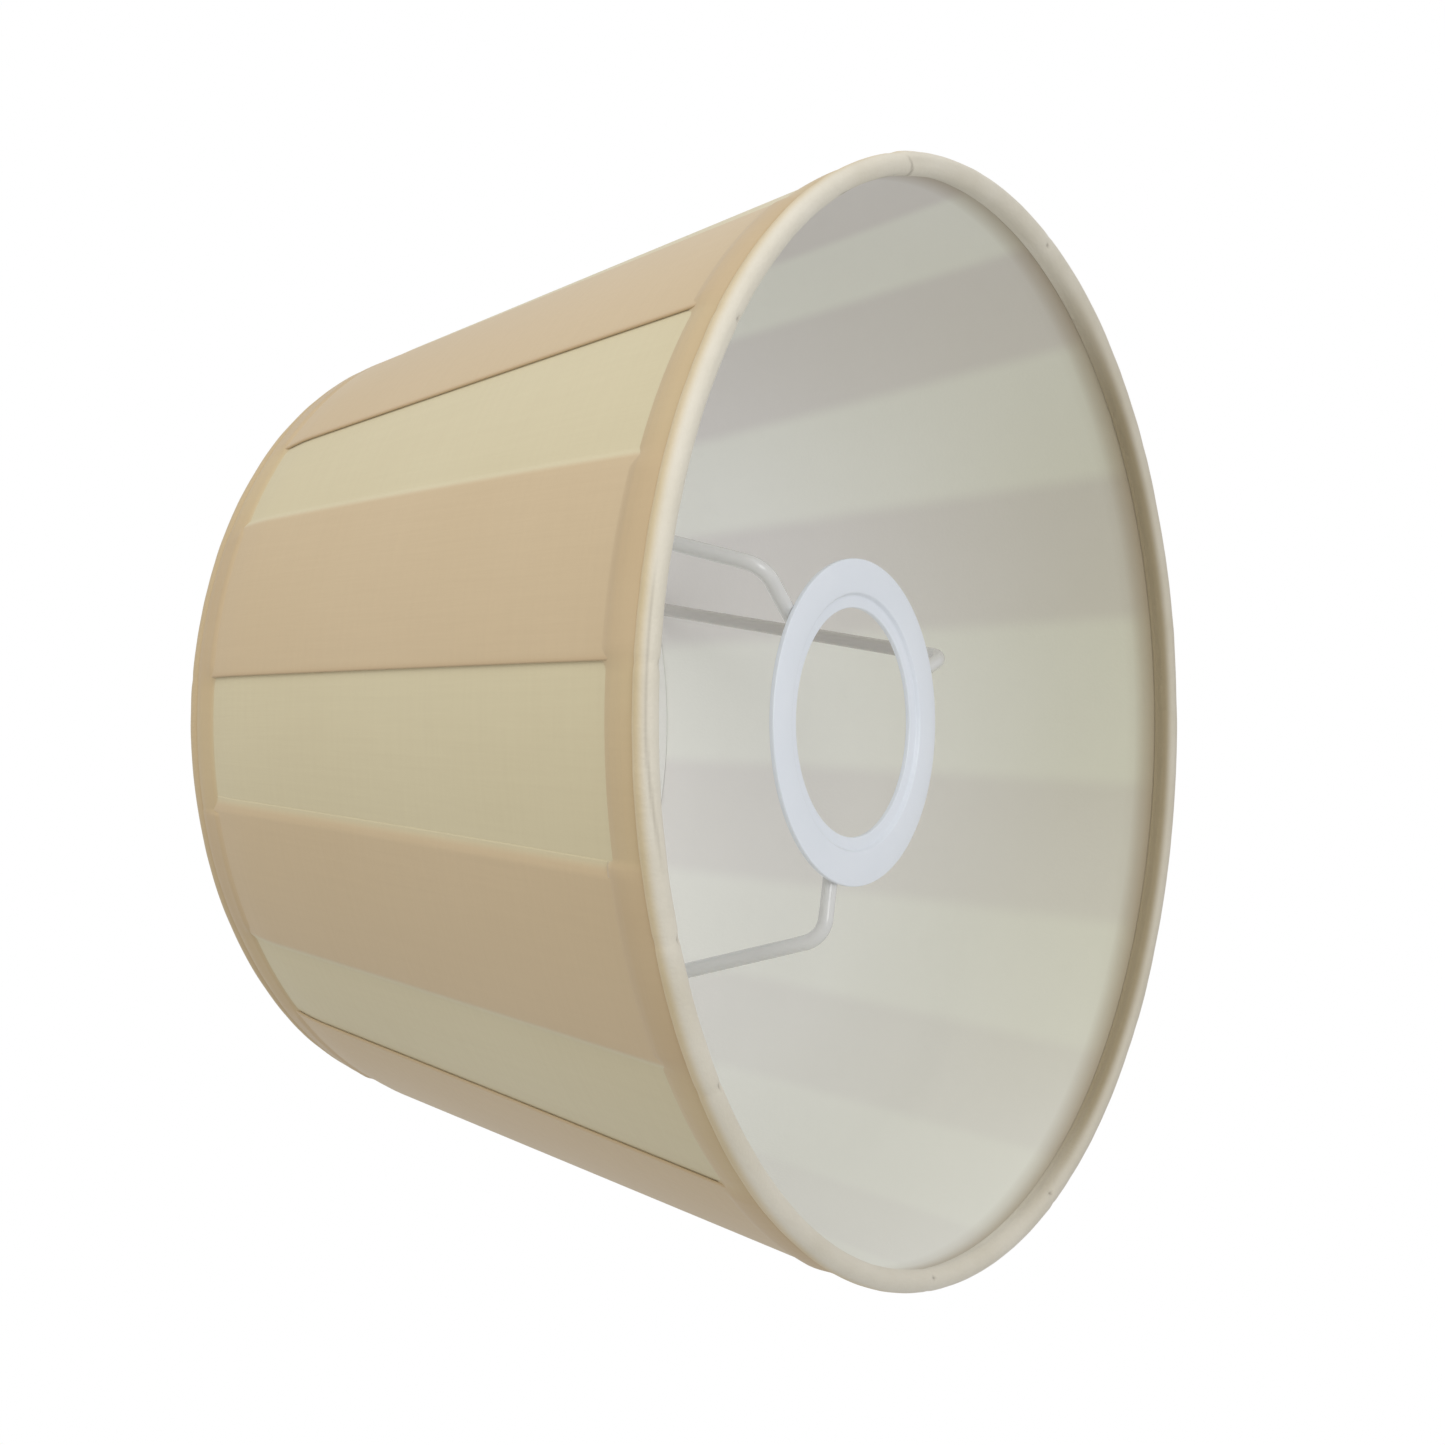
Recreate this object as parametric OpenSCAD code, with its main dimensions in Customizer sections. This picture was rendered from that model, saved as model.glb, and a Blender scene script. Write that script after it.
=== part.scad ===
// Tapered pleated lamp shade on a wire frame with a drop fitter.
// It stands on its wide rim: Z runs up the shade's axis, and the rim's underside is at Z = 0.

/* [Shade] */
// Diameter over the rolled edge at the wide end
wide_d = 200; // [180:1:240]
// Diameter over the rolled edge at the small end
small_d = 148; // [130:1:170]
// Height from rim to rim
shade_h = 118; // [105:1:150]

/* [Fitter] */
// Hole for the lampholder
hole_d = 42; // [28:0.5:44]
// Outside diameter of the fitter ring
ring_d = 60; // [56:1:70]
// Diameter of the step round the sunk seat
seat_d = 47; // [46:0.5:50]
// Sheet thickness of the pressed ring
ring_t = 1; // [0.8:0.1:1.5]
// How far the seat is sunk above the ring's underside
seat_drop = 0.8; // [0.4:0.1:1]
// Height of the ring's underside above the wide rim
ring_z = 21.8; // [15:0.1:40]

/* [Wire frame] */
// Diameter of the coated wire in the drop arms
arm_wire_d = 2.8; // [2.4:0.1:3]
// Diameter of the rim wires
rim_wire_d = 2.6; // [2:0.1:2.7]
// Radius of the arms' bend, on the wire's centre line
arm_bend_r = 5; // [4:0.5:8]
// Radius from the axis at which the arms' two straight runs would meet
arm_knee_r = 39.9; // [37:0.1:46]
// Radius from the axis at which the arms end on the back of the ring
arm_foot_r = 25.8; // [25.5:0.1:28]

/* [Cloth and liner] */
// Diameter of the rolled edge's section
roll_d = 4.2; // [4:0.1:5]
// Thickness of one pressed layer of the cover
cloth_t = 0.6; // [0.4:0.1:0.8]
// Thickness of the white liner
liner_t = 0.4; // [0.3:0.1:0.4]
// Height of the hem band's inner edge above the wide rim
wide_hem = 10.5; // [8:0.5:14]
// Distance of the small hem band's inner edge below the small rim
small_hem = 8.5; // [7:0.5:12]

/* [Hidden] */
$fn = 96;

// Bearings are in degrees anticlockwise from +X, seen from above.
// The arms were set by eye, a few degrees off an even 120.
arm_bearing = [-47.3, 71.1, 192.7];
// How far round from its leg each arm's upper end was welded
arm_swing = [3.6, -2.7, 15.9];
// Pleat edges, read round the shade: each plain panel's two edges, then the next one's.
// The first half runs up from the lap at its start; the second runs down from it.
edges_a = [-102.3, -84.6, -66.6, -49, -31, -13, 5, 20.7, 38.3, 57.7];
edges_b = [-121.6, -138.4, -156.4, -173.6, -191, -209, -226, -244, -262, -283.4];
// Bearing of the liner's lap
liner_lap_at = -112;

roll_r = roll_d / 2;
wide_roll_r = wide_d / 2 - roll_r;
small_roll_r = small_d / 2 - roll_r;
small_roll_z = shade_h - roll_r;
// How far the rolls stand proud of the pleats
roll_proud = 0.6;
// The wide roll's underside is pressed flat by this much where it stands
flat_t = 0.15;
// Clear space between pieces that are glued or wrapped together
glue_gap = 0.05;
// How far the walls reach past the rolls' centres before the rolls cut them off
tuck = 1;
hem_t = 0.35;
notch_clear = 0.15;
// How far each notch runs on past the arm's end, into the roll's hollow
notch_past = 0.6;
// The weld's thickness between an arm's end and the rim wire
weld_gap = 0.25;
// Width of the liner's lap, and of the step where it leaves the liner, in degrees
lap_w = 6;
lap_step = 1;
// Bearing left open between a cloth's end and the next piece
end_gap = 0.2;
tape_t = 0.1;

// Outer radius of the pleats' tops at a height
function pleat_r(z) = wide_d / 2 - roll_proud - (wide_d - small_d) / 2 * z / shade_h;

// A wall between two depths below the pleats' tops, cut away where the rolls are
module wall_section(from_z, to_z, deep_outer, deep_inner) {
    difference() {
        polygon([
            [pleat_r(from_z) - deep_inner, from_z],
            [pleat_r(from_z) - deep_outer, from_z],
            [pleat_r(to_z) - deep_outer, to_z],
            [pleat_r(to_z) - deep_inner, to_z]
        ]);
        translate([wide_roll_r, roll_r]) circle(r = roll_r + glue_gap);
        translate([small_roll_r, small_roll_z]) circle(r = roll_r + glue_gap);
    }
}

module wall_round(from_z, to_z, deep_outer, deep_inner) {
    rotate_extrude() wall_section(from_z, to_z, deep_outer, deep_inner);
}

// The part of a wall between two bearings, given in either order
module wall_arc(a, b, deep_outer, deep_inner) {
    rotate_extrude(start = min(a, b), angle = abs(b - a))
        wall_section(roll_r + tuck, small_roll_z - tuck, deep_outer, deep_inner);
}

module fitter_ring() {
    color("whitesmoke")
        translate([0, 0, ring_z])
        rotate_extrude()
        polygon([
            [seat_d / 2, 0],
            [ring_d / 2, 0],
            [ring_d / 2, ring_t],
            [seat_d / 2 + ring_t / 2, ring_t],
            [seat_d / 2 + ring_t / 2, seat_drop + ring_t],
            [hole_d / 2, seat_drop + ring_t],
            [hole_d / 2, seat_drop],
            [seat_d / 2, seat_drop]
        ]);
}

// An arm leaves its weld on the ring's back, bends, and runs straight up to the small end wire.
arm_leg_z = ring_z + ring_t + arm_wire_d / 2;
arm_rise = small_roll_z - arm_leg_z;
arm_join = 0.4;
bend_swell = 0.04;

function arm_side(i) = small_roll_r * sin(arm_swing[i]);
function arm_reach(i) = small_roll_r * cos(arm_swing[i]) - arm_knee_r;
function arm_height(i) = norm([arm_side(i), arm_rise]);
function arm_lean(i) = atan(arm_reach(i) / arm_height(i));
function arm_run(i) = norm([arm_reach(i), arm_height(i)]) - rim_wire_d / 2 - weld_gap;

// Turns a shape to an arm's bearing and tips it round the arm's leg towards its upper end.
module at_arm(i) {
    rotate([0, 0, arm_bearing[i]])
        translate([0, 0, arm_leg_z])
        rotate([-atan(arm_side(i) / arm_rise), 0, 0])
        children();
}

// The arm's profile lies in the X-Y plane here, with the bend's centre at the origin.
// The bend is a hair thicker than the straight runs, and each run ends just inside it.
module arm_profile(i, turn, cut_back) {
    translate([arm_foot_r - arm_knee_r + cut_back, -arm_bend_r])
        rotate([0, 90, 0])
        cylinder(d = arm_wire_d, h = arm_knee_r - cut_back - arm_foot_r + arm_join);
    rotate_extrude(start = -90, angle = turn)
        translate([arm_bend_r, 0])
        circle(d = arm_wire_d + bend_swell);
    rotate(turn)
        translate([-arm_join, -arm_bend_r])
        rotate([0, 90, 0])
        cylinder(d = arm_wire_d, h = arm_run(i) - cut_back + arm_join);
}

module drop_arm(i) {
    turn = 90 - arm_lean(i);
    cut_back = arm_bend_r * tan(turn / 2);
    color("gainsboro")
        at_arm(i)
        translate([arm_knee_r - cut_back, 0, arm_bend_r])
        rotate([90, 0, 0])
        arm_profile(i, turn, cut_back);
}

module rim_wire(r, z) {
    color("silver") translate([0, 0, z]) rotate_extrude() translate([r, 0]) circle(d = rim_wire_d);
}

liner_out = 2 * cloth_t + glue_gap;
liner_in = liner_out + liner_t;

module liner() {
    color("white") {
        wall_round(roll_r + tuck, small_roll_z - tuck, liner_out, liner_in);
        wall_arc(liner_lap_at, liner_lap_at + lap_w, liner_in + tape_t, liner_in + tape_t + liner_t);
        wall_arc(liner_lap_at + lap_w, liner_lap_at + lap_w + lap_step, liner_in - liner_t / 2,
            liner_in + tape_t + liner_t);
    }
}

module liner_lap_tape() {
    color("khaki") wall_arc(liner_lap_at, liner_lap_at + lap_w - end_gap, liner_in, liner_in + tape_t);
}

// One half of the cover: a single layer everywhere, and a folded band between each two plain panels.
module cover_half(edges) {
    last = len(edges) - 1;
    wall_arc(edges[0], edges[last], cloth_t, 2 * cloth_t);
    for (i = [1 : 2 : last - 2]) wall_arc(edges[i], edges[i + 1], 0, 1.5 * cloth_t);
}

// A half's outer lap, over the other half's plain end, with the step that joins it to its own single layer
module outer_lap(root, lap_end) {
    wall_arc(root, lap_end, 0, cloth_t);
    wall_arc(root, root + lap_step, 0.5 * cloth_t, 1.5 * cloth_t);
}

// A half's plain end, under the other half's outer lap
module inner_lap(root, lap_end) {
    wall_arc(root, lap_end, cloth_t, 2 * cloth_t);
}

last_edge = len(edges_a) - 1;

module cover_half_a() {
    color("tan") {
        cover_half(edges_a);
        inner_lap(edges_a[0], edges_b[0] + end_gap);
        outer_lap(edges_a[last_edge] - lap_step, edges_b[last_edge] + 360);
    }
}

module cover_half_b() {
    color("burlywood") {
        cover_half(edges_b);
        outer_lap(edges_b[0] - lap_step, edges_a[0]);
        inner_lap(edges_b[last_edge], edges_a[last_edge] - 360 + end_gap);
    }
}

module wide_hem_band() {
    color("peru") wall_round(roll_r + tuck, wide_hem, -glue_gap - hem_t, -glue_gap);
}

module small_hem_band() {
    color("peru") wall_round(shade_h - small_hem, small_roll_z - tuck, -glue_gap - hem_t, -glue_gap);
}

module roll_section() {
    difference() {
        circle(r = roll_r);
        circle(d = rim_wire_d + 2 * glue_gap);
    }
}

module wide_rolled_edge() {
    color("wheat")
        rotate_extrude()
        intersection() {
            translate([wide_roll_r, roll_r - flat_t]) roll_section();
            translate([wide_roll_r - roll_d, 0]) square([2 * roll_d, 2 * roll_d]);
        }
}

// The small roll is notched where the arms come through it to the wire.
module small_rolled_edge() {
    color("wheat")
        difference() {
            translate([0, 0, small_roll_z]) rotate_extrude() translate([small_roll_r, 0]) roll_section();
            for (i = [0 : len(arm_bearing) - 1])
                at_arm(i)
                    translate([arm_knee_r, 0, 0])
                    rotate([0, arm_lean(i), 0])
                    cylinder(d = arm_wire_d + 2 * notch_clear, h = arm_run(i) + notch_past);
        }
}

fitter_ring();
drop_arm(0);  // drop_arm_1
drop_arm(1);  // drop_arm_2
drop_arm(2);  // drop_arm_3
rim_wire(small_roll_r, small_roll_z);  // small_end_wire
rim_wire(wide_roll_r, roll_r - flat_t);  // wide_end_wire
liner();
liner_lap_tape();
cover_half_a();
cover_half_b();
wide_hem_band();
small_hem_band();
wide_rolled_edge();
small_rolled_edge();
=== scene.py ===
# A pleated lamp shade on a wire frame, standing on its wide rim, with its fitter ring just inside that end.
# Lengths are metres. Z runs up the shade's axis. Bearings are degrees anticlockwise from +X, seen from above.
import bpy
from math import cos, hypot, pi, radians, sin
from mathutils import Matrix, Vector, noise


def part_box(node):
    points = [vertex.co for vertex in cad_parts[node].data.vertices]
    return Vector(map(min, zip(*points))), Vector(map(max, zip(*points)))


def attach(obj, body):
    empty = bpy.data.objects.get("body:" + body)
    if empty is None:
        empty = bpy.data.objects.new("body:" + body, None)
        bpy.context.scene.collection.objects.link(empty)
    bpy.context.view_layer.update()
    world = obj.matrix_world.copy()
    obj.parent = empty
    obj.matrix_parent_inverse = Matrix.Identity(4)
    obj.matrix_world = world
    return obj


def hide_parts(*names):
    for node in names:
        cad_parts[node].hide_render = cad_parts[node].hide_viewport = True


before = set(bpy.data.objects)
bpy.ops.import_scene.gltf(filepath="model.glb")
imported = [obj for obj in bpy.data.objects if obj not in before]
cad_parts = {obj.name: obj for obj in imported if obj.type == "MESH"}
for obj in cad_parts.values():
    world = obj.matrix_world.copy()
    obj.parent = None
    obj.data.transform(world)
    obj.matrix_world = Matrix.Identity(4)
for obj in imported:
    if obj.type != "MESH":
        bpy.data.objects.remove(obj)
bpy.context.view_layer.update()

# ---- Camera, light and floor ----
# The camera looks up into the wide end from below the rim, turned so that the shade's +X side is at the top.
# A broad soft lamp stands on that side and a small one below the rim. The floor is below, out of the view.
MM = 0.001
camera_place = Vector((0, -0.3861, -0.1960))
camera_aim = Vector((0, 0, 0.0515))
look = (camera_aim - camera_place).normalized()
picture_up = Vector((1, 0, 0))
camera_data = bpy.data.cameras.new("camera")
camera_data.lens = 60.32
camera_data.sensor_width = 36
camera = bpy.data.objects.new("camera", camera_data)
turned = Matrix((look.cross(picture_up), picture_up, -look)).transposed().to_4x4()
camera.matrix_world = Matrix.Translation(camera_place) @ turned
bpy.context.scene.collection.objects.link(camera)
bpy.context.scene.camera = camera
bpy.context.scene.view_settings.view_transform = "Standard"


def soft_lamp(name, place, aim, size, power, colour):
    data = bpy.data.lights.new(name, "AREA")
    data.shape = "DISK"
    data.size = size
    data.energy = power
    data.color = colour
    lamp = bpy.data.objects.new(name, data)
    away = Vector(place) - Vector(aim)
    lamp.location = place
    lamp.rotation_euler = away.to_track_quat("Z", "Y").to_euler()
    lamp.visible_camera = False
    bpy.context.scene.collection.objects.link(lamp)


soft_lamp(
    "key_lamp", place=(1.0, -0.75, 0.10), aim=(0, 0, 0.06), size=0.9, power=4.4, colour=(1.0, 0.985, 0.96)
)
soft_lamp(
    "low_lamp", place=(0.16, -0.27, -0.46), aim=(0, 0, 0.04), size=0.35, power=0.95, colour=(0.97, 0.985, 1.0)
)

world = bpy.data.worlds.new("studio")
bpy.context.scene.world = world
world.use_nodes = True
sky = world.node_tree.nodes
sky_links = world.node_tree.links
sky.clear()
fill = sky.new("ShaderNodeBackground")
fill.inputs["Color"].default_value = (1.0, 0.995, 0.985, 1)
fill.inputs["Strength"].default_value = 0.65
plain_white = sky.new("ShaderNodeBackground")
plain_white.inputs["Color"].default_value = (1, 1, 1, 1)
plain_white.inputs["Strength"].default_value = 1.0
seen = sky.new("ShaderNodeLightPath")
either = sky.new("ShaderNodeMixShader")
sky_out = sky.new("ShaderNodeOutputWorld")
sky_links.new(seen.outputs["Is Camera Ray"], either.inputs[0])
sky_links.new(fill.outputs[0], either.inputs[1])
sky_links.new(plain_white.outputs[0], either.inputs[2])
sky_links.new(either.outputs[0], sky_out.inputs["Surface"])


class Finish:
    """A new material with its shader, and short ways to add and join nodes."""

    def __init__(self, name, **sockets):
        self.material = bpy.data.materials.new(name)
        self.material.use_nodes = True
        self.nodes = self.material.node_tree.nodes
        self.shader = self.nodes["Principled BSDF"]
        for label, value in sockets.items():
            self.shader.inputs[label.replace("_", " ")].default_value = value

    def join(self, out, into):
        self.material.node_tree.links.new(out, into)

    def node(self, kind, inputs=None, **settings):
        made = self.nodes.new("ShaderNode" + kind)
        for label, value in settings.items():
            setattr(made, label, value)
        for key, value in (inputs or {}).items():
            if isinstance(value, bpy.types.NodeSocket):
                self.join(value, made.inputs[key])
            else:
                made.inputs[key].default_value = value
        return made

    def mix(self, amount, first, second, way="MIX"):
        """The blend of two colours, which are tuples or sockets."""
        first, second = ((*c, 1) if isinstance(c, tuple) else c for c in (first, second))
        made = self.node("Mix", {0: amount, 6: first, 7: second}, data_type="RGBA", blend_type=way)
        return made.outputs[2]

    def sums(self, way, first, second):
        """The sum or product of two numbers or sockets."""
        return self.node("Math", {0: first, 1: second}, operation=way).outputs[0]

    def spots(self):
        """The place of a point in the shade's own frame."""
        return self.node("TexCoord").outputs["Object"]

    def mark(self, name):
        """A number that the mesh carries, read by name."""
        return self.node("Attribute", attribute_name=name).outputs["Fac"]

    def cloud(self, vector, scale, low, high, detail=3.0):
        """A soft noise on a vector, spread from low to high."""
        made = self.node("TexNoise", {"Vector": vector, "Scale": scale, "Detail": detail})
        spread = self.node("MapRange", {"Value": made.outputs["Fac"], 1: 0.3, 2: 0.7, 3: low, 4: high})
        return spread.outputs[0]

    def paint(self, colour):
        self.join(colour, self.shader.inputs["Base Color"])

    def bump(self, height, strength, distance):
        raised = self.node("Bump", {"Height": height, "Strength": strength, "Distance": distance})
        self.join(raised.outputs[0], self.shader.inputs["Normal"])


floor_finish = Finish("pale_floor", Roughness=0.7)
floor_tone = floor_finish.cloud(floor_finish.spots(), 40, 0, 1)
floor_finish.paint(floor_finish.mix(floor_tone, (0.815, 0.815, 0.81), (0.825, 0.825, 0.82)))
floor_low = -0.5
bpy.ops.object.select_all(action="DESELECT")
bpy.ops.mesh.primitive_circle_add(vertices=96, radius=4, fill_type="NGON", location=(0, 0, floor_low))
floor = bpy.context.object
floor.name = "floor"
floor.data.materials.append(floor_finish.material)

# ---- Fitter ring ----
# A flat steel washer pressed from sheet, with a sunk seat round the lampholder's hole and rounded edges.
# It is coated white, and the three drop arms are welded to its back.
ring_low, ring_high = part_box("fitter_ring")
hole_r = 21 * MM
seat_r = 23.5 * MM
ring_r = ring_high[0]
ring_sheet = 1.0 * MM
seat_drop = 0.8 * MM
seat_slope = 0.4 * MM
bpy.ops.object.select_all(action="DESELECT")
bpy.ops.mesh.primitive_circle_add(vertices=160, radius=hole_r, location=(0, 0, ring_low[2] + seat_drop))
ring = bpy.context.object
ring.name = "fitter_ring_pressed"
bpy.ops.object.transform_apply(location=True, rotation=True, scale=True)
bpy.ops.object.mode_set(mode="EDIT")
bpy.ops.mesh.select_all(action="SELECT")
ring_steps = ((seat_r - seat_slope / 2, 0), (seat_r + seat_slope / 2, -seat_drop), (ring_r, 0))
reached = hole_r
for next_r, drop in ring_steps:
    bpy.ops.mesh.extrude_edges_move(TRANSFORM_OT_translate={"value": (0, 0, drop)})
    grow = next_r / reached
    bpy.ops.transform.resize(value=(grow, grow, 1))
    reached = next_r
bpy.ops.mesh.select_all(action="SELECT")
bpy.ops.mesh.normals_make_consistent(inside=False)
bpy.ops.object.mode_set(mode="OBJECT")
if ring.data.polygons[0].normal.z > 0:
    ring.data.flip_normals()
thick = ring.modifiers.new("sheet", "SOLIDIFY")
thick.thickness = ring_sheet
thick.offset = -1
rounded = ring.modifiers.new("rounded", "BEVEL")
rounded.width = 0.24 * MM
rounded.segments = 4
rounded.limit_method = "ANGLE"
rounded.angle_limit = radians(25)
for step in ("sheet", "rounded"):
    bpy.ops.object.modifier_apply(modifier=step)
bpy.ops.object.shade_smooth_by_angle(angle=radians(40))

white_coat = Finish("white_coat", Roughness=0.32, Coat_Weight=0.35, Coat_Roughness=0.12)
coat_spots = white_coat.spots()
coat_tone = white_coat.cloud(coat_spots, 60, 0, 1)
white_coat.paint(white_coat.mix(coat_tone, (0.85, 0.90, 0.98), (0.88, 0.925, 1.0)))
white_coat.bump(white_coat.cloud(coat_spots, 900, 0, 1), 0.06, 0.0003)
ring.data.materials.append(white_coat.material)
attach(ring, "root")
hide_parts("fitter_ring")

# ---- Drop arms ----
# Three lengths of steel wire, each bent once, welded to the ring's back and to the small end's wire.
# They carry the same white coating. Above its foot each arm's coat is darkened by painted shade, most on the
# second arm.
arm_foot_top = 28 * MM
arm_run_start = 36 * MM


def refinish(node, finish):
    """Gives a carried-over part a better material."""
    for slot in bpy.data.objects[node].material_slots:
        slot.material = finish.material


for arm, painted_shade_tone in (
    ("drop_arm_1", (0.73, 0.73, 0.72)),
    ("drop_arm_2", (0.53, 0.51, 0.48)),
    ("drop_arm_3", (0.69, 0.69, 0.68)),
):
    arm_coat = Finish("white_coat_with_painted_shade_on_" + arm, Roughness=0.22, Coat_Weight=0.6, Coat_Roughness=0.08)
    arm_spots = arm_coat.spots()
    height = arm_coat.node("SeparateXYZ", {"Vector": arm_spots}).outputs["Z"]
    rise = {"Value": height, 1: arm_foot_top, 2: arm_run_start, 3: 0.0, 4: 1.0}
    up_the_run = arm_coat.node("MapRange", rise).outputs[0]
    clouded = arm_coat.mix(arm_coat.cloud(arm_spots, 120, 0, 0.1), (0.77, 0.77, 0.76), (0.4, 0.4, 0.4))
    # Painted shade: above the foot the coat turns to the arm's own shaded tone.
    arm_coat.paint(arm_coat.mix(up_the_run, clouded, painted_shade_tone))
    arm_coat.bump(arm_coat.cloud(arm_spots, 1500, 0, 1), 0.08, 0.0002)
    refinish(arm, arm_coat)

# ---- Rim wires ----
# A ring of galvanised wire at each end, closed up inside the rolled edges and seen nowhere.
zinc = Finish("rim_wire_zinc", Metallic=0.9, Roughness=0.45)
zinc.paint(zinc.mix(zinc.cloud(zinc.spots(), 300, 0, 1), (0.48, 0.49, 0.50), (0.62, 0.63, 0.64)))
refinish("small_end_wire", zinc)
refinish("wide_end_wire", zinc)

# ---- Lap tape ----
# A strip of thin double-sided tape that holds the liner's lap shut.
lap_tape = Finish("lap_tape", Roughness=0.5)
tape_tone = lap_tape.cloud(lap_tape.spots(), 400, 0, 1)
lap_tape.paint(lap_tape.mix(tape_tone, (0.72, 0.68, 0.52), (0.80, 0.77, 0.62)))
refinish("liner_lap_tape", lap_tape)

# ---- Pleated cover ----
# Two mirror-image halves of fine satin cloth, pressed into flat pleats, lapped and glued to the liner.
# Each pale panel is one layer over the white liner, and each darker band is three: face, return and backing.
wide_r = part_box("wide_rolled_edge")[1][0]
small_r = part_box("small_rolled_edge")[1][0]
shade_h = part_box("small_rolled_edge")[1][2]
roll_proud = 0.6 * MM
wall_full = 1.1 * MM
fills_over_foot = 7 * MM
fills_over_head = 15 * MM
cloth_t = 0.22 * MM
foot_gap = 2.7 * MM
head_gap = 2.9 * MM
wall_foot = foot_gap
wall_head = shade_h - head_gap
# How far below the pleats' tops each layer lies: a panel's or a backing's, a return's and a face's
plain_deep = 0.98 * MM
return_deep = 0.70 * MM
face_deep = 0.42 * MM
fold_lift = 0.01 * MM
# Each pleat edge's bearing at the wide end, and at the small end, where the pleats crowd together.
# The odd places of each list are the free folds, and the even ones the hidden edges of a band's backing.
edges_a = [
    (-102.3, -99.8), (-84.6, -83.7), (-66.6, -62.3), (-49.0, -48.0), (-31.0, -28.6),
    (-13.0, -12.2), (5.0, 6.4), (20.7, 20.0), (38.3, 40.0), (57.7, 57.0),
]
edges_b = [
    (-121.6, -119.8), (-138.4, -134.9), (-156.4, -155.2), (-173.6, -172.2), (-191.0, -191.2),
    (-209.0, -208.0), (-226.0, -227.0), (-244.0, -243.6), (-262.0, -263.4), (-283.4, -283.9),
]


def eased(x):
    x = min(max(x, 0), 1)
    return x * x * (3 - 2 * x)


def cone_r(z):
    """The radius of the plain cone that the liner's lap and the rolled edges are set out from."""
    return wide_r - roll_proud - (wide_r - small_r) * z / shade_h


def pleat_r(z):
    """The radius of the pleats' tops at a height. The cloth stands out a little between the rolled edges."""
    return cone_r(z) + wall_full * eased(z / fills_over_foot) * eased((shade_h - z) / fills_over_head)


def ring_point(r, bearing, z):
    return (r * cos(radians(bearing)), r * sin(radians(bearing)), z)


def at_height(edge, z):
    return edge[0] + (edge[1] - edge[0]) * z / shade_h


def cloth_from_rows(name, rows, marks, thickness, closed=False):
    """Joins rows of points into a cloth with marks and a UV map in metres, and thickens it."""
    tall = len(rows)
    wide = len(rows[0])
    faces = []
    for i in range(tall - 1):
        for j in range(wide if closed else wide - 1):
            k = (j + 1) % wide
            faces.append((i * wide + j, i * wide + k, (i + 1) * wide + k, (i + 1) * wide + j))
    mesh = bpy.data.meshes.new(name)
    mesh.from_pydata([p for row in rows for p in row], [], faces)
    for label, values in marks.items():
        layer = mesh.attributes.new(label, "FLOAT", "POINT")
        layer.data.foreach_set("value", [v for row in values for v in row])
    along = []
    middle = rows[tall // 2]
    run = 0.0
    for j in range(wide + 1):
        along.append(run)
        step = Vector(middle[(j + 1) % wide]) - Vector(middle[j % wide])
        run += step.length
    up = [0.0]
    for i in range(1, tall):
        up.append(up[-1] + (Vector(rows[i][0]) - Vector(rows[i - 1][0])).length)
    uv = mesh.uv_layers.new(name="cloth")
    for face in mesh.polygons:
        for loop in face.loop_indices:
            spot = mesh.loops[loop].vertex_index
            i, j = divmod(spot, wide)
            if closed and j == 0 and spot != face.vertices[0] and face.vertices[0] % wide == wide - 1:
                j = wide
            uv.data[loop].uv = (along[j], up[i])
    mesh.validate()
    mesh.shade_smooth()
    cloth = bpy.data.objects.new(name, mesh)
    bpy.context.scene.collection.objects.link(cloth)
    bpy.ops.object.select_all(action="DESELECT")
    cloth.select_set(True)
    bpy.context.view_layer.objects.active = cloth
    thick = cloth.modifiers.new("cloth", "SOLIDIFY")
    thick.thickness = thickness
    thick.offset = 0
    bpy.ops.object.modifier_apply(modifier="cloth")
    return cloth


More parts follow.
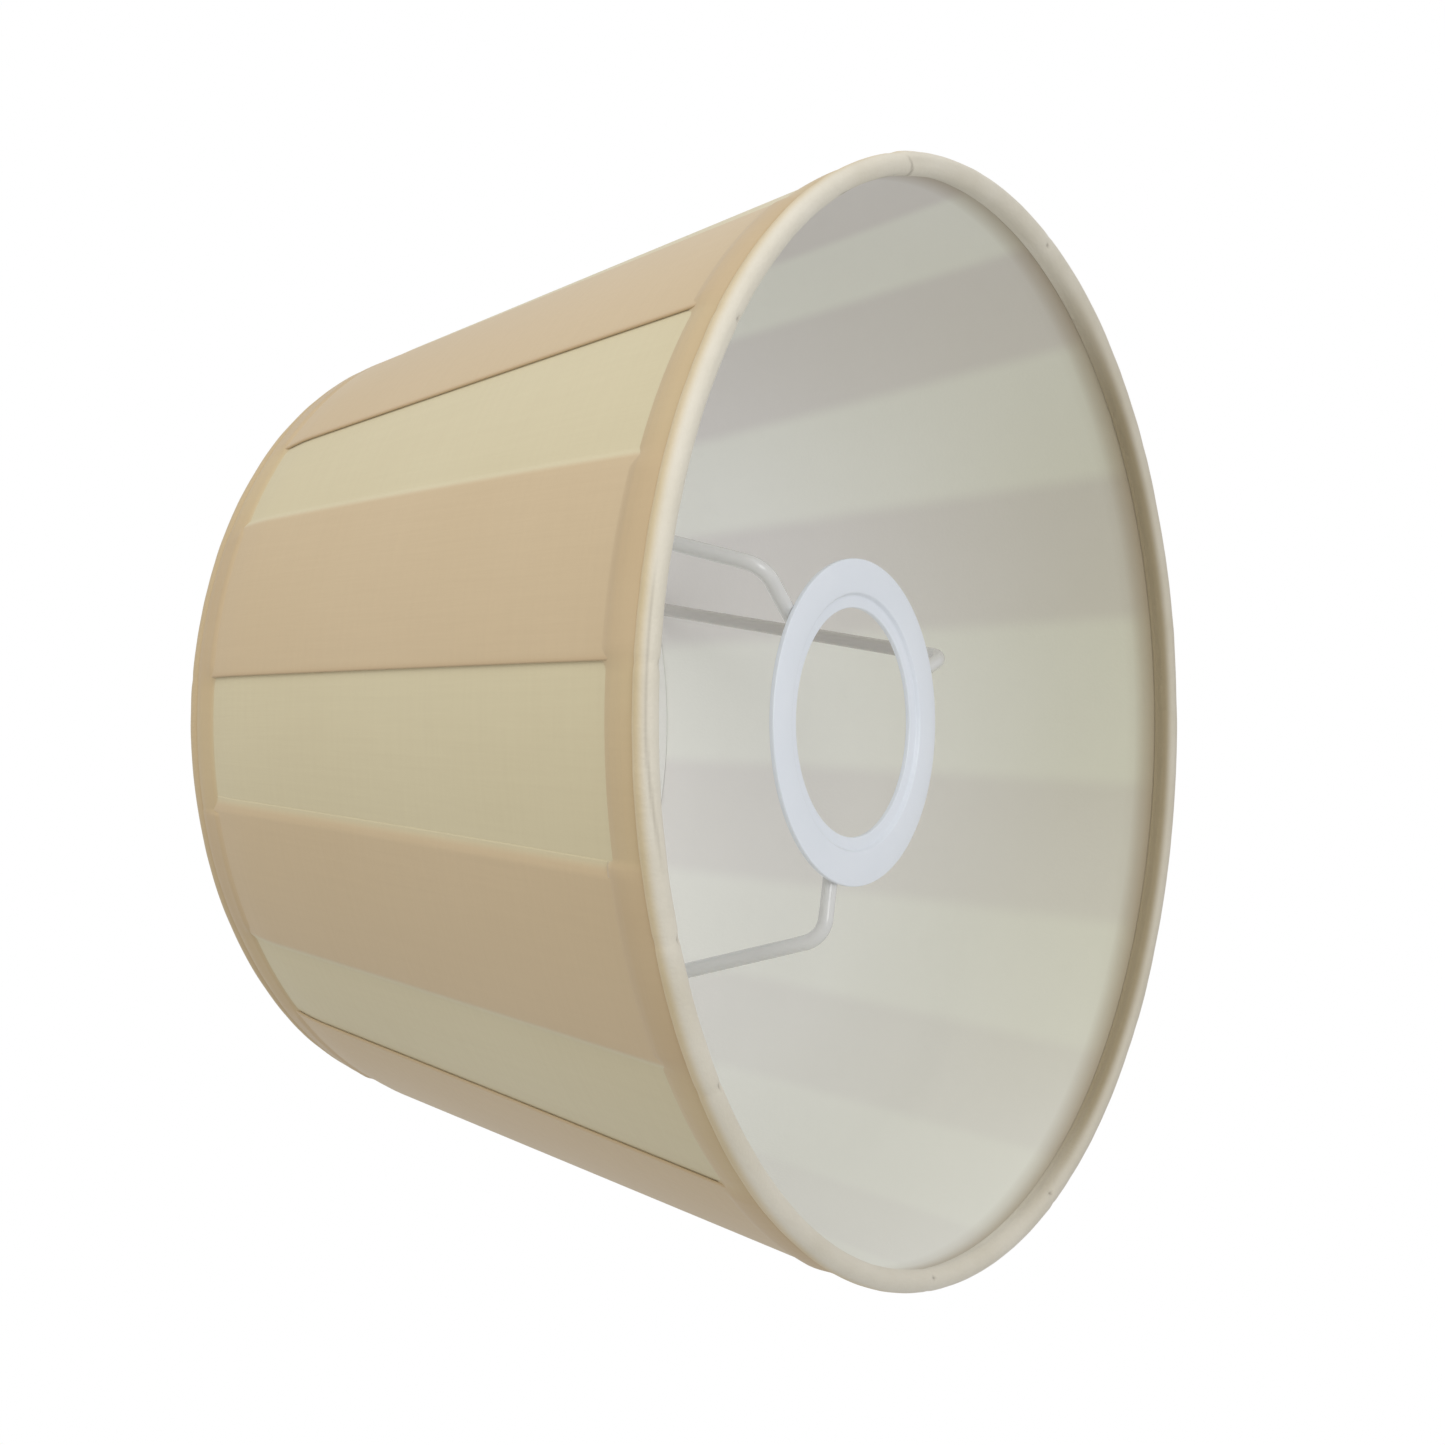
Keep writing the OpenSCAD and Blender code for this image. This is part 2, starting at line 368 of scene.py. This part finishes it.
def pleat_path(edges, z, lap_start, lap_end, lap_over_start):
    """One half's way round the shade at a height: (bearing, depth, darkness, painted fold shade) from lap to
    lap.
    """
    way = 1 if edges[1][0] > edges[0][0] else -1
    here = [at_height(e, z) for e in edges]
    degree = pleat_r(z) * pi / 180
    path = []

    def lay(a, b, steps, depth, dark=0.0, fold_shade=0.0):
        for n in range(steps):
            t = n / steps
            values = []
            for value in (depth, dark, fold_shade):
                values.append(value(t) if callable(value) else value)
            path.append((a + (b - a) * t, *values))

    def turn(at, deep, shallow, out, dark, fold_shade):
        """A half turn of the cloth from one depth to the other, bulging one way round the shade."""
        middle = (deep + shallow) / 2
        half = (deep - shallow) / 2
        for n in range(1, 6):
            angle = pi * n / 6
            bulge = way * out * half * sin(angle) / degree
            path.append((at + bulge, middle + half * cos(angle), dark, fold_shade))

    def sink(t):
        """The face's depth at a band's hidden edge, where it settles onto the panel's."""
        return face_deep + (plain_deep - face_deep) * eased(t)

    def fade(t):
        return 1 - eased(t * tone_rush)

    tone_rush = 1.6
    settle = 2.2 * MM / degree
    near = 3.0 * MM / degree
    tuck_lead = 0.5
    under_fold = 0.4
    first = at_height(lap_start, z)
    if lap_over_start:
        # This half's outer lap lies over the other's end, then settles to the single layer.
        end_in = way * near
        end_lift = 0.02 * MM
        lay(
            first, first + end_in, 10,
            lambda t: plain_deep - end_lift + (face_deep - plain_deep) * eased(t),
            lambda t: eased(t * tone_rush),
        )
        lay(first + end_in, here[0], 14, face_deep, 1)
        lay(here[0], here[0] + way * settle, 10, sink, fade)
        begin = here[0] + way * settle
    else:
        lay(first, here[0] - way * tuck_lead, 10, plain_deep, 1)
        lay(here[0] - way * tuck_lead, here[0], 3, plain_deep, lambda t: 1 - eased(t * 1.3))
        begin = here[0]
    for n in range(1, len(edges) - 2, 2):
        fold = here[n]
        hidden = here[n + 1]
        lay(begin, fold - way * near, 14, plain_deep)
        # The pale panel's last few millimetres, in the shade of the fold above it
        lay(fold - way * near, fold + way * under_fold, 8, plain_deep, 0, lambda t: 0.35 * t ** 9)
        lay(fold + way * under_fold, hidden, 6, plain_deep, 1)
        turn(hidden, plain_deep, return_deep, 1, 1, 0)
        lay(hidden, fold + way * near, 6, return_deep, 1)
        lay(fold + way * near, fold, 4, lambda t: return_deep - fold_lift * t * t, 1, lambda t: t)
        turn(fold, return_deep - fold_lift, face_deep - fold_lift, -1, 1, 0.25)
        lay(
            fold, fold + way * near, 7,
            lambda t: face_deep - fold_lift * (1 - t) ** 2, 1, lambda t: 0.25 * (1 - t) ** 6,
        )
        lay(fold + way * near, hidden, 18, face_deep, 1)
        lay(hidden, hidden + way * settle, 10, sink, fade)
        begin = hidden + way * settle
    last = here[-1]
    finish = at_height(lap_end, z)
    if lap_over_start:
        lay(begin, last, 14, plain_deep)
        lay(last, finish, 10, plain_deep, 1)
    else:
        lay(begin, last - way * settle, 14, plain_deep)
        lay(
            last - way * settle, last, 10,
            lambda t: plain_deep + (face_deep - plain_deep) * eased(t),
            lambda t: eased(t * tone_rush - 0.6),
        )
        lay(last, finish, 14, face_deep, 1)
    path.append((finish, path[-1][1], 1, 0))
    return path


def pleated_half(name, edges, lap_start, lap_end, lap_over_start, fold_shade_strength):
    """Lays a half cover's path at each height and joins the rows. fold_shade_strength is how dark the painted
    shade along its fold lines is.
    """
    rows = []
    dark = []
    fold_shade = []
    steps = 56
    for i in range(steps + 1):
        z = wall_foot + (wall_head - wall_foot) * i / steps
        path = pleat_path(edges, z, lap_start, lap_end, lap_over_start)
        rows.append([ring_point(pleat_r(z) - depth, bearing, z) for bearing, depth, _, _ in path])
        dark.append([p[2] for p in path])
        fold_shade.append([p[3] * fold_shade_strength for p in path])
    return cloth_from_rows(name, rows, {"band": dark, "fold_shade": fold_shade}, cloth_t)


# Half b's fold lines carry less painted shade than half a's.
cover_a = pleated_half("cover_half_a_pleats", edges_a, edges_b[0], (76.6, 76.1), False, 1.0)
cover_b = pleated_half("cover_half_b_pleats", edges_b, edges_a[0], (-302.3, -303.0), True, 0.3)


def satin_threads(finish, uv):
    """The fine streaks of warp and weft threads, which run along and up the cloth."""
    drawn_out = 0.06
    warp = finish.node("Mapping", {"Vector": uv, "Scale": (1, drawn_out, 1)}).outputs[0]
    weft = finish.node("Mapping", {"Vector": uv, "Scale": (drawn_out, 1, 1)}).outputs[0]
    return finish.sums("ADD", finish.cloud(warp, 700, 0, 1, 2), finish.cloud(weft, 900, 0, 1, 2))


satin = Finish("pleated_satin", Roughness=0.62, Sheen_Weight=0.25, Sheen_Roughness=0.4)
threads = satin_threads(satin, satin.node("UVMap", uv_map="cloth").outputs[0])
broad = satin.cloud(satin.spots(), 14, 0, 1, 2)
pale = satin.mix(broad, (0.655, 0.575, 0.370), (0.685, 0.610, 0.405))
tan = satin.mix(broad, (0.610, 0.470, 0.285), (0.640, 0.500, 0.315))
toned = satin.mix(satin.mark("band"), pale, tan)
streaked = satin.mix(satin.sums("MULTIPLY", threads, 0.035), toned, (0.40, 0.30, 0.18))
# Painted shade along the fold lines: a thin brown line beside each fold.
satin.paint(satin.mix(satin.mark("fold_shade"), streaked, (0.44, 0.27, 0.12)))
satin.bump(threads, 0.10, 0.0002)

for cover, node in ((cover_a, "cover_half_a"), (cover_b, "cover_half_b")):
    cover.data.materials.append(satin.material)
    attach(cover, "root")
    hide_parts(node)

# ---- Hem bands ----
# A narrow tape of the same cloth glued over the pleats at each end, its inner edge pressed flush and its
# outer one carried into the rolled edge. It sinks over each single-layer panel.
hem_t = 0.22 * MM
band_edges = [(e[0], e[1]) for e in edges_a] + [(e[0] + 360, e[1] + 360) for e in reversed(edges_b)]


def band_height(bearing, z, soften):
    """1 over a three-layer band and 0 over a single layer, with soft sides of a given width."""
    degree = pleat_r(z) * pi / 180
    turned = (bearing - band_edges[0][0]) % 360 + band_edges[0][0]
    inside = 0.0
    for n in range(1, len(band_edges), 2):
        a = at_height(band_edges[n], z)
        b = at_height(band_edges[n + 1], z) if n + 1 < len(band_edges) else at_height(band_edges[0], z) + 360
        reach = min(turned - a, b - turned) * degree / soften
        inside = max(inside, eased(0.5 + reach / 2))
    return inside


def hem_band(name, node, tuck_path, inner_z, way, proud, sink_near):
    """A round of tape. tuck_path is its section inside the rolled edge, and way is +1 where it runs upwards.
    It stands proud of the bands' tops, and sinks over the single layers by sink_near beside the roll."""
    around = 960
    pressed_in = 0.52 * MM
    panel_sink = 0.72 * MM
    section = [(z, r_shift, 0.0) for r_shift, z in tuck_path]
    first_z = tuck_path[-1][1] + way * 0.7 * MM
    runs = 16
    for n in range(runs + 1):
        section.append((first_z + (inner_z - first_z) * n / runs, 0.0, n / runs))
    rows = []
    dark = []
    rim = []
    for z, r_shift, across in section:
        row = []
        row_dark = []
        sunk = pressed_in * eased((across - 0.60) / 0.40)
        for n in range(around):
            bearing = 360 * n / around
            high = band_height(bearing, z, 3.0 * MM - 1.6 * MM * across)
            over_panel = (sink_near + (panel_sink - sink_near) * eased(across)) * (1 - high)
            row.append(ring_point(pleat_r(z) - sunk + proud - over_panel + r_shift, bearing, z))
            row_dark.append(high)
        rows.append(row)
        dark.append(row_dark)
        rim.append([eased(1 - abs(z - inner_z) / (1.5 * MM))] * around)
    hem = cloth_from_rows(name, rows, {"band": dark, "rim": rim}, hem_t, closed=True)
    hem.data.materials.append(hem_cloth.material)
    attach(hem, "root")
    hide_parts(node)
    return hem


hem_cloth = Finish("hem_satin", Roughness=0.66, Sheen_Weight=0.25, Sheen_Roughness=0.4)
hem_threads = satin_threads(hem_cloth, hem_cloth.node("UVMap", uv_map="cloth").outputs[0])
hem_broad = hem_cloth.cloud(hem_cloth.spots(), 40, 0, 1, 2)
over_pale = hem_cloth.mix(hem_broad, (0.575, 0.435, 0.250), (0.600, 0.470, 0.275))
over_band = hem_cloth.mix(hem_broad, (0.560, 0.420, 0.245), (0.590, 0.450, 0.270))
hem_toned = hem_cloth.mix(hem_cloth.mark("band"), over_pale, over_band)
at_band = hem_cloth.mix(hem_cloth.mark("band"), (0.655, 0.575, 0.375), (0.620, 0.480, 0.298))
hem_softened = hem_cloth.mix(hem_cloth.mark("rim"), hem_toned, at_band)
hem_streaks = hem_cloth.sums("MULTIPLY", hem_threads, 0.03)
hem_cloth.paint(hem_cloth.mix(hem_streaks, hem_softened, (0.36, 0.26, 0.15)))
hem_cloth.bump(hem_threads, 0.10, 0.0002)

wide_hem_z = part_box("wide_hem_band")[1][2]
small_hem_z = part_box("small_hem_band")[0][2]
# Each tuck's points from its hidden end on: how far out from the pleats' tops, and the height
wide_tuck = [(-1.7 * MM, 0.8 * MM), (-0.9 * MM, 1.9 * MM), (-0.2 * MM, 2.9 * MM)]
wide_hem = hem_band(
    "wide_hem_tape", "wide_hem_band", wide_tuck, wide_hem_z, way=1, proud=0.06 * MM, sink_near=0.30 * MM
)
small_tuck = [
    (-1.35 * MM, shade_h - 0.6 * MM), (-0.75 * MM, shade_h - 1.0 * MM), (-0.50 * MM, shade_h - 2.0 * MM),
    (-0.3 * MM, shade_h - 2.7 * MM), (-0.1 * MM, shade_h - 3.3 * MM),
]
small_hem = hem_band(
    "small_hem_tape", "small_hem_band", small_tuck, small_hem_z, way=-1, proud=0.0, sink_near=0.12 * MM
)

# ---- Liner ----
# A sheet of white laminated lining rolled into a cone, its lap taped shut, which stiffens the shade.
# The bands and the wide hem, seen through it against the light, are painted into its colour as soft darker
# stripes and a brown line at the foot.
liner_t = 0.4 * MM
liner_deep = 1.5 * MM
flap_deep = 2.08 * MM
lap_at = -112.0
lap_wide = 6.0
lap_step = 1.0
liner_clear = 0.3 * MM
liner_rows = []
liner_marks = {"band": [], "rim": [], "deep": []}
liner_steps = 60
liner_around = 480


def swing(bearing, middle, strongest):
    """How much a mark gains on the side towards one bearing, and loses on the other."""
    return middle * cos(radians(bearing - strongest))


for i in range(liner_steps + 1):
    z = wall_foot + liner_clear + (wall_head - wall_foot - 2 * liner_clear) * i / liner_steps
    row = []
    row_marks = {label: [] for label in liner_marks}
    for j in range(liner_around + 1):
        bearing = lap_at + lap_wide - (360 + lap_wide) * j / liner_around
        over = eased((lap_at + lap_wide + lap_step - 360 - bearing) / lap_step)
        row.append(ring_point(cone_r(z) - liner_deep - (flap_deep - liner_deep) * over, bearing, z))
        # Painted shade: a brown line where the hem shows through against the light and the roll shades the
        # crevice. It fades out above the roll and is strongest on the +Y side.
        painted_hem_and_crevice_shade = eased(1 - (z - 4.6 * MM) / ((3.7 + swing(bearing, 1.5, 70)) * MM))
        row_marks["rim"].append(painted_hem_and_crevice_shade * (0.58 + swing(bearing, 0.18, 95)))
        # Painted shade and light: the liner darkens to a yellowish grey near the wide rim, most on the +Y
        # side, and is painted whiter deeper in.
        low = 1 - eased(z / (0.8 * shade_h))
        row_marks["deep"].append(1 - low * (0.5 + swing(bearing, 0.5, 85)) ** 2)
        # Painted light: the stripes are the bands seen through the liner against the light. They are
        # strongest towards +X, where the key lamp stands, and faintest on the side away from +X.
        row_marks["band"].append(band_height(bearing, z, 2.4 * MM) * (0.62 + swing(bearing, 0.38, 20)))
    liner_rows.append(row)
    for label, values in row_marks.items():
        liner_marks[label].append(values)
liner = cloth_from_rows("liner_sheet", liner_rows, liner_marks, liner_t)
lining = Finish("white_lining", Roughness=0.75)
lining_uv = lining.node("UVMap", uv_map="cloth").outputs[0]
lining_broad = lining.cloud(lining.spots(), 16, 0, 1, 2)
shaded_lining = lining.mix(lining_broad, (0.690, 0.680, 0.540), (0.720, 0.710, 0.580))
lit_lining = lining.mix(lining_broad, (0.915, 0.920, 0.870), (0.935, 0.940, 0.900))
# The deep, band and rim marks paint light and shade into the lining: darker near the rim, the bands' stripes
# and a brown line at the foot.
lining_toned = lining.mix(lining.mark("deep"), shaded_lining, lit_lining)
lining_with_painted_stripes = lining.mix(lining.mark("band"), lining_toned, (0.885, 0.852, 0.885), "MULTIPLY")
lining.paint(lining.mix(lining.mark("rim"), lining_with_painted_stripes, (0.345, 0.260, 0.150)))
lining_grain = lining.sums(
    "ADD", lining.cloud(lining_uv, 1500, 0, 1, 2), lining.cloud(lining_uv, 120, 0, 1.5, 2)
)
lining.bump(lining_grain, 0.08, 0.0002)
liner.data.materials.append(lining.material)
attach(liner, "root")
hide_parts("liner")

# ---- Rolled edges ----
# A strip of soft pale cloth at each end, wrapped round the rim wire and glued down on both sides of the wall.
# It is a little lumpy, puckers where it passes the folds, and its ends lap in one small seam.
edge_cloth = Finish("rolled_edge_cloth", Roughness=0.72, Sheen_Weight=0.2, Sheen_Roughness=0.5)
edge_uv = edge_cloth.node("UVMap", uv_map="cloth").outputs[0]
edge_spots = edge_cloth.spots()
edge_broad = edge_cloth.cloud(edge_spots, 70, 0, 1, 3)
edge_outer = edge_cloth.mix(edge_broad, (0.620, 0.500, 0.290), (0.670, 0.550, 0.350))
edge_inner = edge_cloth.mix(edge_broad, (0.690, 0.640, 0.530), (0.750, 0.705, 0.605))
edge_matched = edge_cloth.mix(edge_cloth.mark("matched"), edge_outer, (0.580, 0.445, 0.260))
edge_toned = edge_cloth.mix(edge_cloth.mark("inner"), edge_matched, edge_inner)
# Painted shade: the inside of the wide roll turns dark brown on the +Y side.
edge_far_shaded = edge_cloth.mix(edge_cloth.mark("far_side_shade"), edge_toned, (0.37, 0.30, 0.185))
edge_lined = edge_cloth.mix(edge_cloth.mark("lined"), edge_far_shaded, (0.925, 0.920, 0.890))
# Painted shade in the nicks, in the grooves and along the seam's raised end.
edge_cloth.paint(edge_cloth.mix(edge_cloth.mark("roll_line_shade"), edge_lined, (0.23, 0.19, 0.14)))
edge_weave = edge_cloth.sums(
    "ADD", edge_cloth.cloud(edge_uv, 1400, 0, 1, 2), edge_cloth.cloud(edge_spots, 260, 0, 2, 2)
)
edge_cloth.bump(edge_weave, 0.18, 0.0002)


def round_from(bearing, start):
    """The way from one bearing to another, from -180 to 180 degrees."""
    return (bearing - start + 180) % 360 - 180


def rolled_edge(
    name, node, centre_r, centre_z, wall_at, sign, floor_z, seam, nicks, grooves, around, matched,
    inner_from, glued_from, glued_z,
):
    """Wraps the strip round one wire. wall_at is the wall's direction from the wire, in degrees of the
    section. matched is 1 where the strip's face is the hem's colour, and inner_from is where its paler
    inside starts. Its last part, from glued_from, runs on to the height glued_z."""
    roll_r = 1.85 * MM
    edge_t = 0.24 * MM
    across = 30
    starts_past = 20
    wraps = 320
    seam_lift = 0.16 * MM
    nick_half = 0.9 * MM
    pucker_half = 1.6 * MM
    glue_gap = 0.32 * MM
    rows = []
    marks = {label: [] for label in ("inner", "roll_line_shade", "far_side_shade", "matched", "lined")}
    for j in range(across + 1):
        turn = j / across
        angle = radians(wall_at - sign * (starts_past + wraps * turn))
        row = []
        row_marks = {label: [] for label in marks}
        for n in range(around):
            bearing = 360 * n / around
            spot = Vector(ring_point(centre_r, bearing, 0)) * 60
            lump = 0.09 * MM * noise.noise(spot + Vector((0, 0, 2.2 * turn)))
            lump += 0.05 * MM * noise.noise(spot * 4 + Vector((7, 0, 4 * turn)))
            # The lapped end stands up sharply on one side of the seam and settles slowly on the other.
            past = round_from(bearing, seam + 3 * (turn - 0.5))
            lump += seam_lift * (eased(1 + past / 0.5) if past < 0 else eased(1 - past / 9))
            # Painted shade along the seam, and below in each nick and groove.
            seam_line = eased(1 - abs(past + 0.25) / 0.35)
            mark = 0.55 * seam_line * eased((turn - 0.35) * 4) * eased((0.95 - turn) * 6)
            for at, height, depth in nicks:
                off = round_from(bearing, at) * radians(centre_r)
                far = hypot(off / nick_half, (turn - height) / 0.055)
                lump -= depth * eased(1 - far / 1.6)
                mark = max(mark, 0.75 * eased(1 - far))
                lump -= 0.35 * depth * eased(1 - abs(off) / pucker_half)
            for start, end, turn_a, turn_b, sharp, depth, dark in grooves:
                way = (bearing - start) / (end - start)
                off_line = abs(turn - turn_a - (turn_b - turn_a) * eased(way * 2 - 1)) / sharp
                groove = eased(1 - off_line) * eased(way * 5) * eased((1 - way) * 5)
                lump -= depth * groove
                mark = max(mark, dark * groove)
            r = centre_r + (roll_r + lump) * cos(angle)
            z = centre_z + (roll_r + lump) * sin(angle)
            # The roll's inner end runs on along the liner, where it is glued.
            glued = eased((turn - glued_from) / (1 - glued_from))
            z += (glued_z - z) * glued
            r += (cone_r(z) - liner_deep - glue_gap - r) * glued
            if floor_z is not None:
                z = max(z, floor_z + edge_t / 2)
            row.append(ring_point(r, bearing, z))
            # Painted shade on the inside of the wide roll, on the +Y side, away from the lamps.
            far_side = eased((cos(radians(bearing - 95)) - 0.25) / 0.5)
            inside_shade = 0.2 + 0.8 * eased((turn - 0.64) / 0.16)
            row_marks["inner"].append(eased((turn - inner_from) / 0.18))
            row_marks["roll_line_shade"].append(mark)
            row_marks["far_side_shade"].append((1 - matched) * inside_shade * far_side)
            row_marks["matched"].append(matched)
            row_marks["lined"].append(matched * eased((turn - 0.55) / 0.2))
        rows.append(row)
        for label, values in row_marks.items():
            marks[label].append(values)
    edge = cloth_from_rows(name, rows, marks, edge_t, closed=True)
    edge.data.materials.append(edge_cloth.material)
    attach(edge, "root")
    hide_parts(node)
    return edge


roll_section = 4.2 * MM
# Each nick: its bearing, how far round the roll it is, from 0 to 1, and its depth
wide_nicks = [
    (-51, 0.60, 0.3 * MM), (-85, 0.62, 0.35 * MM), (-109, 0.60, 0.3 * MM), (-124, 0.58, 0.3 * MM),
    (158, 0.66, 0.3 * MM), (-173, 0.6, 0.2 * MM), (21, 0.62, 0.2 * MM), (-14.5, 0.80, 0.2 * MM),
]
# Each groove: from one bearing to another, its turn at each, its width, its depth and the strength of the
# painted shade in it
wide_grooves = [
    (285, 256, 0.365, 0.48, 0.045, 0.10 * MM, 0.32),
    (346, 332, 0.79, 0.71, 0.04, 0.15 * MM, 0.9),
]
wide_roll = rolled_edge(
    "wide_rolled_cloth", "wide_rolled_edge", wide_r - roll_section / 2, roll_section / 2 - 0.15 * MM,
    wall_at=102.4, sign=1, floor_z=0.0, seam=-12, nicks=wide_nicks, grooves=wide_grooves, around=1080,
    matched=0.0, inner_from=0.20, glued_from=0.90, glued_z=4.3 * MM,
)
small_nicks = [(-84, 0.5, 0.2 * MM), (20, 0.5, 0.2 * MM), (130, 0.5, 0.2 * MM)]
small_roll = rolled_edge(
    "small_rolled_cloth", "small_rolled_edge", small_r - roll_section / 2, shade_h - roll_section / 2,
    wall_at=-48, sign=-1, floor_z=None, seam=100, nicks=small_nicks, grooves=[], around=900,
    matched=1.0, inner_from=0.45, glued_from=0.80, glued_z=shade_h - 4.8 * MM,
)
